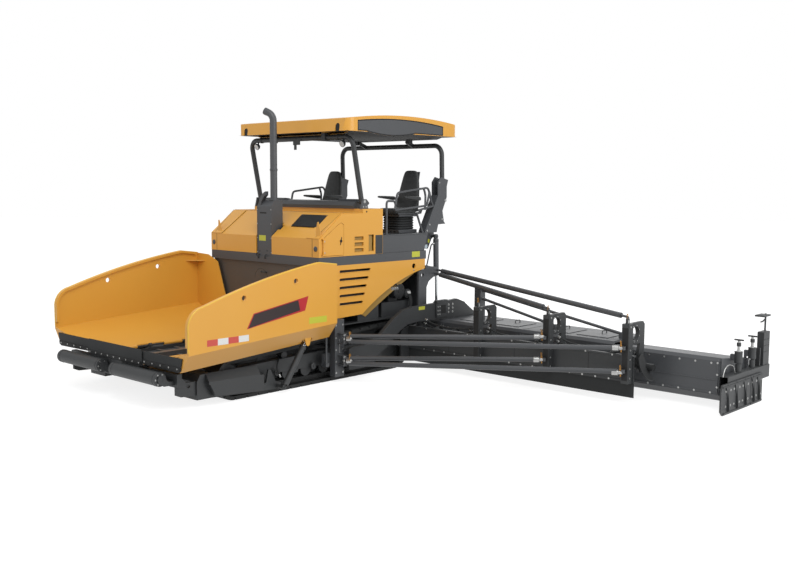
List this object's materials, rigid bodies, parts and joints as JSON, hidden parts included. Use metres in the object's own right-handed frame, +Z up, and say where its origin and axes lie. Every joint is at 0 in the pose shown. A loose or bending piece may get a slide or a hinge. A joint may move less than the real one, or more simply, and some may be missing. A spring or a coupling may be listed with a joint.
{
  "type": "tracked asphalt paver",
  "caption": "Tracked road paver with a folding hopper, conveyor, spreading augers, towed full-width screed and a roof over two seats.",
  "frame": {"origin": "on the ground, mid-width, at the middle of the overall length, 2.886 m behind the front edge of the hopper wings", "axes": "+X forward, +Y to the machine's left, +Z up"},
  "size_m": [6.188, 12.52, 3.923],
  "materials": {
    "yellow_paint": "gloss",
    "dark_paint": "satin",
    "bulkhead_paint": "satin",
    "track_iron": "worn",
    "black_rubber": "matt",
    "bare_steel": "worn",
    "rod_chrome": "polished",
    "seat_fabric": "matt",
    "trim_plastic": "matt",
    "engine_iron": "rough"
  },
  "bodies": {
    "tractor": {"tracks": "track_iron", "roller_frames": "dark_paint", "chassis_frame": "dark_paint", "conveyor": "bare_steel", "engine_block": "engine_iron", "track_guards": "dark_paint", "push_beam": "dark_paint", "centre_flap": "black_rubber", "hood": "yellow_paint", "air_screen": "dark_paint", "front_bulkhead": "bulkhead_paint", "deck_frame": "dark_paint", "exhaust_stack": "dark_paint", "side_panels": "yellow_paint", "engine_bay_units": "dark_paint", "platform": "dark_paint", "dash_console": "trim_plastic", "seat_bases": "trim_plastic", "seat_cushions": "seat_fabric", "handrails": "dark_paint", "rear_frame": "dark_paint", "auger_case": "dark_paint", "auger_side_plates": "dark_paint", "auger_brackets": "dark_paint", "mouldboards": "dark_paint", "mouldboard_skirts": "black_rubber", "guide_columns": "dark_paint", "tie_rods": "dark_paint", "upper_braces": "dark_paint", "levelling_cylinders": "dark_paint", "canopy_feet": "dark_paint"},
    "push_roller_left": {"push_roller_left": "dark_paint"},
    "push_roller_right": {"push_roller_right": "dark_paint"},
    "wing_left": {"hopper_wing_left": "yellow_paint", "wing_flap_left": "black_rubber"},
    "wing_right": {"hopper_wing_right": "yellow_paint", "wing_flap_right": "black_rubber"},
    "wing_barrel_left": {"wing_cylinder_left": "dark_paint"},
    "wing_barrel_right": {"wing_cylinder_right": "dark_paint"},
    "wing_piston_left": {"wing_rod_left": "rod_chrome"},
    "wing_piston_right": {"wing_rod_right": "rod_chrome"},
    "carriage": {"tow_carriage": "dark_paint"},
    "screed": {"tow_arms": "dark_paint", "screed_body": "dark_paint", "screed_soles": "bare_steel", "screed_walkway": "dark_paint", "screed_braces": "dark_paint", "end_frames": "dark_paint"},
    "gate_left": {"end_gate_left": "dark_paint"},
    "gate_right": {"end_gate_right": "dark_paint"},
    "lift_barrels": {"lift_cylinders": "dark_paint"},
    "lift_heads": {"lift_pistons": "bare_steel"},
    "lift_shafts": {"lift_rods": "rod_chrome"},
    "auger_shaft_left": {"auger_left": "bare_steel"},
    "auger_shaft_right": {"auger_right": "bare_steel"},
    "door_left": {"engine_door_left": "yellow_paint"},
    "door_right": {"engine_door_right": "yellow_paint"},
    "front_hoop": {"canopy_front_hoop": "dark_paint"},
    "rear_hoop": {"canopy_rear_hoop": "dark_paint"},
    "roof": {"canopy_roof": "yellow_paint"}
  },
  "joints": [
    {"name": "push_roller_left_spin", "type": "hinge", "parent": "tractor", "child": "push_roller_left", "pos_m": [3.006, 0, 0.42], "axis": [0, 1, 0], "continuous": true},
    {"name": "push_roller_right_spin", "type": "hinge", "parent": "tractor", "child": "push_roller_right", "pos_m": [3.006, 0, 0.42], "axis": [0, 1, 0], "continuous": true},
    {"name": "wing_left_fold", "type": "hinge", "parent": "tractor", "child": "wing_left", "pos_m": [-0.214, 0.54, 0.53], "axis": [1, 0, 0], "range_deg": [0, 40]},
    {"name": "wing_right_fold", "type": "hinge", "parent": "tractor", "child": "wing_right", "pos_m": [-0.214, -0.54, 0.53], "axis": [-1, 0, 0], "range_deg": [0, 40]},
    {"name": "wing_barrel_left_swing", "type": "hinge", "parent": "tractor", "child": "wing_barrel_left", "pos_m": [1.236, 1.43, 0.09], "axis": [0.5317, 0.7784, 0.3339], "range_deg": [0, 21.45]},
    {"name": "wing_piston_left_stroke", "type": "slide", "parent": "wing_barrel_left", "child": "wing_piston_left", "axis": [-0.5476, 0.0152, 0.8366], "range_m": [0, 0.537]},
    {"name": "wing_barrel_right_swing", "type": "hinge", "parent": "tractor", "child": "wing_barrel_right", "pos_m": [1.236, -1.43, 0.09], "axis": [-0.5317, 0.7784, -0.3339], "range_deg": [0, 21.45]},
    {"name": "wing_piston_right_stroke", "type": "slide", "parent": "wing_barrel_right", "child": "wing_piston_right", "axis": [-0.5476, -0.0152, 0.8366], "range_m": [0, 0.537]},
    {"name": "tow_slide", "type": "slide", "parent": "tractor", "child": "carriage", "axis": [0, 0, 1], "range_m": [0, 0.12]},
    {"name": "screed_lift", "type": "hinge", "parent": "carriage", "child": "screed", "pos_m": [-0.064, 0, 0.3], "axis": [0, 1, 0], "range_deg": [0, 5]},
    {"name": "lift_barrels_swing", "type": "hinge", "parent": "tractor", "child": "lift_barrels", "pos_m": [-2.164, 0, 1.985], "axis": [0, -1, 0], "range_deg": [0, 3.45]},
    {"name": "lift_heads_stroke", "type": "slide", "parent": "lift_barrels", "child": "lift_heads", "axis": [0.023, 0, 0.9997], "range_m": [0, 0.1206]},
    {"name": "lift_shafts_stroke", "type": "slide", "parent": "lift_heads", "child": "lift_shafts", "axis": [0.023, 0, 0.9997], "range_m": [0, 0.1833]},
    {"name": "gate_left_lift", "type": "slide", "parent": "screed", "child": "gate_left", "axis": [0, 0, 1], "range_m": [0, 0.1]},
    {"name": "gate_right_lift", "type": "slide", "parent": "screed", "child": "gate_right", "axis": [0, 0, 1], "range_m": [0, 0.1]},
    {"name": "auger_left_spin", "type": "hinge", "parent": "tractor", "child": "auger_shaft_left", "pos_m": [-1.689, 0, 0.47], "axis": [0, 1, 0], "continuous": true},
    {"name": "auger_right_spin", "type": "hinge", "parent": "tractor", "child": "auger_shaft_right", "pos_m": [-1.689, 0, 0.47], "axis": [0, 1, 0], "continuous": true},
    {"name": "door_left_swing", "type": "hinge", "parent": "tractor", "child": "door_left", "pos_m": [0.352, 1.266, 0], "axis": [0, 0, -1], "range_deg": [0, 90]},
    {"name": "door_right_swing", "type": "hinge", "parent": "tractor", "child": "door_right", "pos_m": [0.352, -1.266, 0], "axis": [0, 0, 1], "range_deg": [0, 90]},
    {"name": "canopy_fold", "type": "hinge", "parent": "tractor", "child": "front_hoop", "pos_m": [-0.504, 0, 2.556], "axis": [0, -1, 0], "range_deg": [0, 60]},
    {"name": "rear_hoop_swing", "type": "hinge", "parent": "tractor", "child": "rear_hoop", "pos_m": [-2.354, 0, 2.556], "axis": [0, -1, 0], "range_deg": [0, 60]},
    {"name": "roof_pivot", "type": "hinge", "parent": "front_hoop", "child": "roof", "pos_m": [-0.314, 0, 3.494], "axis": [0, 1, 0], "range_deg": [0, 60]}
  ],
  "couplings": [
    {"joint": "wing_barrel_left_swing", "follows": "wing_left_fold", "ratio": 0.53566},
    {"joint": "wing_piston_left_stroke", "follows": "wing_left_fold", "m_per_rad": 0.76888},
    {"joint": "wing_barrel_right_swing", "follows": "wing_right_fold", "ratio": 0.53566},
    {"joint": "wing_piston_right_stroke", "follows": "wing_right_fold", "m_per_rad": 0.76888},
    {"joint": "lift_barrels_swing", "follows": "screed_lift", "ratio": 0.68798},
    {"joint": "lift_heads_stroke", "follows": "tow_slide", "ratio": 1.0034},
    {"joint": "lift_shafts_stroke", "follows": "screed_lift", "m_per_rad": 2.0978},
    {"joint": "rear_hoop_swing", "follows": "canopy_fold", "ratio": 1},
    {"joint": "roof_pivot", "follows": "canopy_fold", "ratio": 1}
  ]
}
